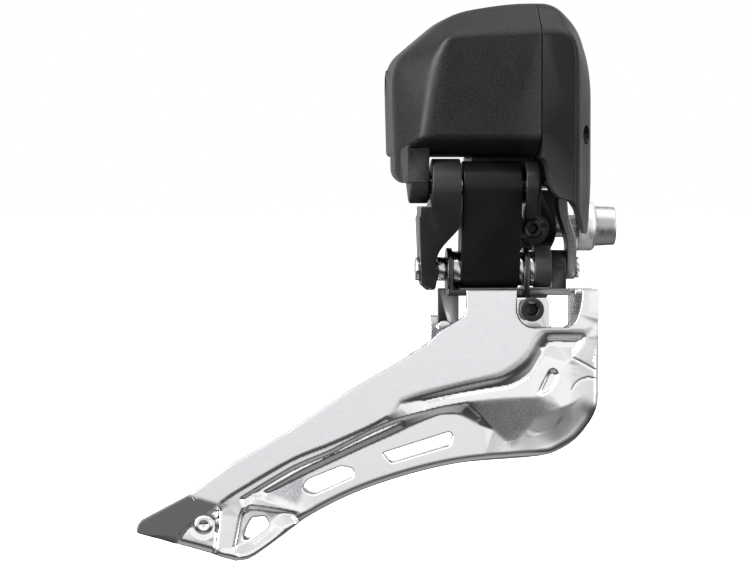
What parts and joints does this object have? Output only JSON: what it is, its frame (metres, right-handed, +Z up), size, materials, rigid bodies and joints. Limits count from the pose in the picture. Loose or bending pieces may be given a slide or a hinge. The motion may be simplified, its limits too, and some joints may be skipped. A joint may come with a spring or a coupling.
{
  "type": "front derailleur",
  "caption": "Motor-driven front derailleur for a bicycle: a housing on a clamp bracket swings a two-plate chain cage on a parallelogram of links.",
  "frame": {"origin": "centre of the clamped frame tab, on the clamp bolt's axis, midway between the saddle and the washer", "axes": "+X to the front of the bicycle along the clamp bolt, +Y inboard to the seat tube, +Z up"},
  "size_m": [0.1063, 0.0425, 0.1202],
  "materials": {
    "forged_black": "satin black paint on a forged aluminium body",
    "housing_black": "fine-grained matt black moulded plastic",
    "cover_black": "smooth matt dark grey moulded plastic",
    "link_black": "smooth satin black",
    "seal_rubber": "matt",
    "bright_steel": "bright plated steel",
    "turned_steel": "turned stainless steel",
    "black_steel": "black oxide",
    "cage_silver": "polished and satin plated steel",
    "gear_steel": "cut steel",
    "bronze": "sintered bronze",
    "motor_steel": "drawn can",
    "board_green": "coated circuit board",
    "port_black": "moulded socket"
  },
  "bodies": {
    "base": {"bracket_body": "forged_black", "output_bushes": "bronze", "inner_upper_pin": "bright_steel", "inner_upper_clips": "bright_steel", "gear_arbor": "turned_steel", "motor_can": "motor_steel", "gear_plate": "turned_steel", "motor_housing": "housing_black", "front_cover": "cover_black", "case_screws": "black_steel", "housing_gasket": "seal_rubber", "shaft_seal": "seal_rubber", "wire_port": "port_black", "control_board": "board_green"},
    "clamp_bolt": {"clamp_bolt": "turned_steel", "clamp_washer": "turned_steel"},
    "support_bolt": {"support_bolt": "bright_steel"},
    "outer_link": {"outer_link": "link_black", "rear_link_arm": "forged_black", "front_link_arm": "forged_black", "output_shaft": "turned_steel", "sector_gear": "gear_steel", "lower_outer_pin": "bright_steel", "front_pivot_block": "forged_black", "pin_spacers": "bright_steel"},
    "inner_link": {"inner_link": "forged_black", "inner_link_strap": "turned_steel", "lower_inner_pin": "bright_steel", "lower_inner_clips": "bright_steel"},
    "cage": {"cage_carrier": "forged_black", "outer_cage_plate": "cage_silver", "cage_lug": "cage_silver", "cage_screw": "black_steel", "inner_cage_plate": "cage_silver", "tail_spacer": "turned_steel", "tail_rivet": "turned_steel", "leg_rivet": "turned_steel"},
    "compound_gear": {"compound_gear": "gear_steel"},
    "motor_rotor": {"motor_pinion": "gear_steel", "motor_shaft": "turned_steel"}
  },
  "joints": [
    {"name": "clamp_bolt_slide", "type": "slide", "parent": "base", "child": "clamp_bolt", "axis": [1, 0, 0], "range_m": [0, 0.02]},
    {"name": "support_bolt_travel", "type": "slide", "parent": "base", "child": "support_bolt", "axis": [0, 1, 0], "range_m": [-0.003, 0.003]},
    {"name": "outer_link_swing", "type": "hinge", "parent": "base", "child": "outer_link", "pos_m": [-0.018, -0.022, 0.0093], "axis": [-1, 0, 0], "range_deg": [0, 32]},
    {"name": "inner_link_swing", "type": "hinge", "parent": "base", "child": "inner_link", "pos_m": [-0.012, -0.0125, 0.0093], "axis": [-1, 0, 0], "range_deg": [0, 32]},
    {"name": "cage_pivot", "type": "hinge", "parent": "outer_link", "child": "cage", "pos_m": [-0.018, -0.01676, -0.00896], "axis": [-1, 0, 0], "range_deg": [-32, 0]},
    {"name": "compound_gear_spin", "type": "hinge", "parent": "base", "child": "compound_gear", "pos_m": [-0.036, -0.016, 0.01969], "axis": [-1, 0, 0], "range_deg": [-96, 0]},
    {"name": "motor_spin", "type": "hinge", "parent": "base", "child": "motor_rotor", "pos_m": [-0.036, -0.00887, 0.02468], "axis": [-1, 0, 0], "range_deg": [0, 213.5]}
  ],
  "couplings": [
    {"joint": "inner_link_swing", "follows": "outer_link_swing", "ratio": 1},
    {"joint": "cage_pivot", "follows": "outer_link_swing", "ratio": -1},
    {"joint": "compound_gear_spin", "follows": "outer_link_swing", "ratio": -3},
    {"joint": "motor_spin", "follows": "outer_link_swing", "ratio": 6.6667}
  ]
}
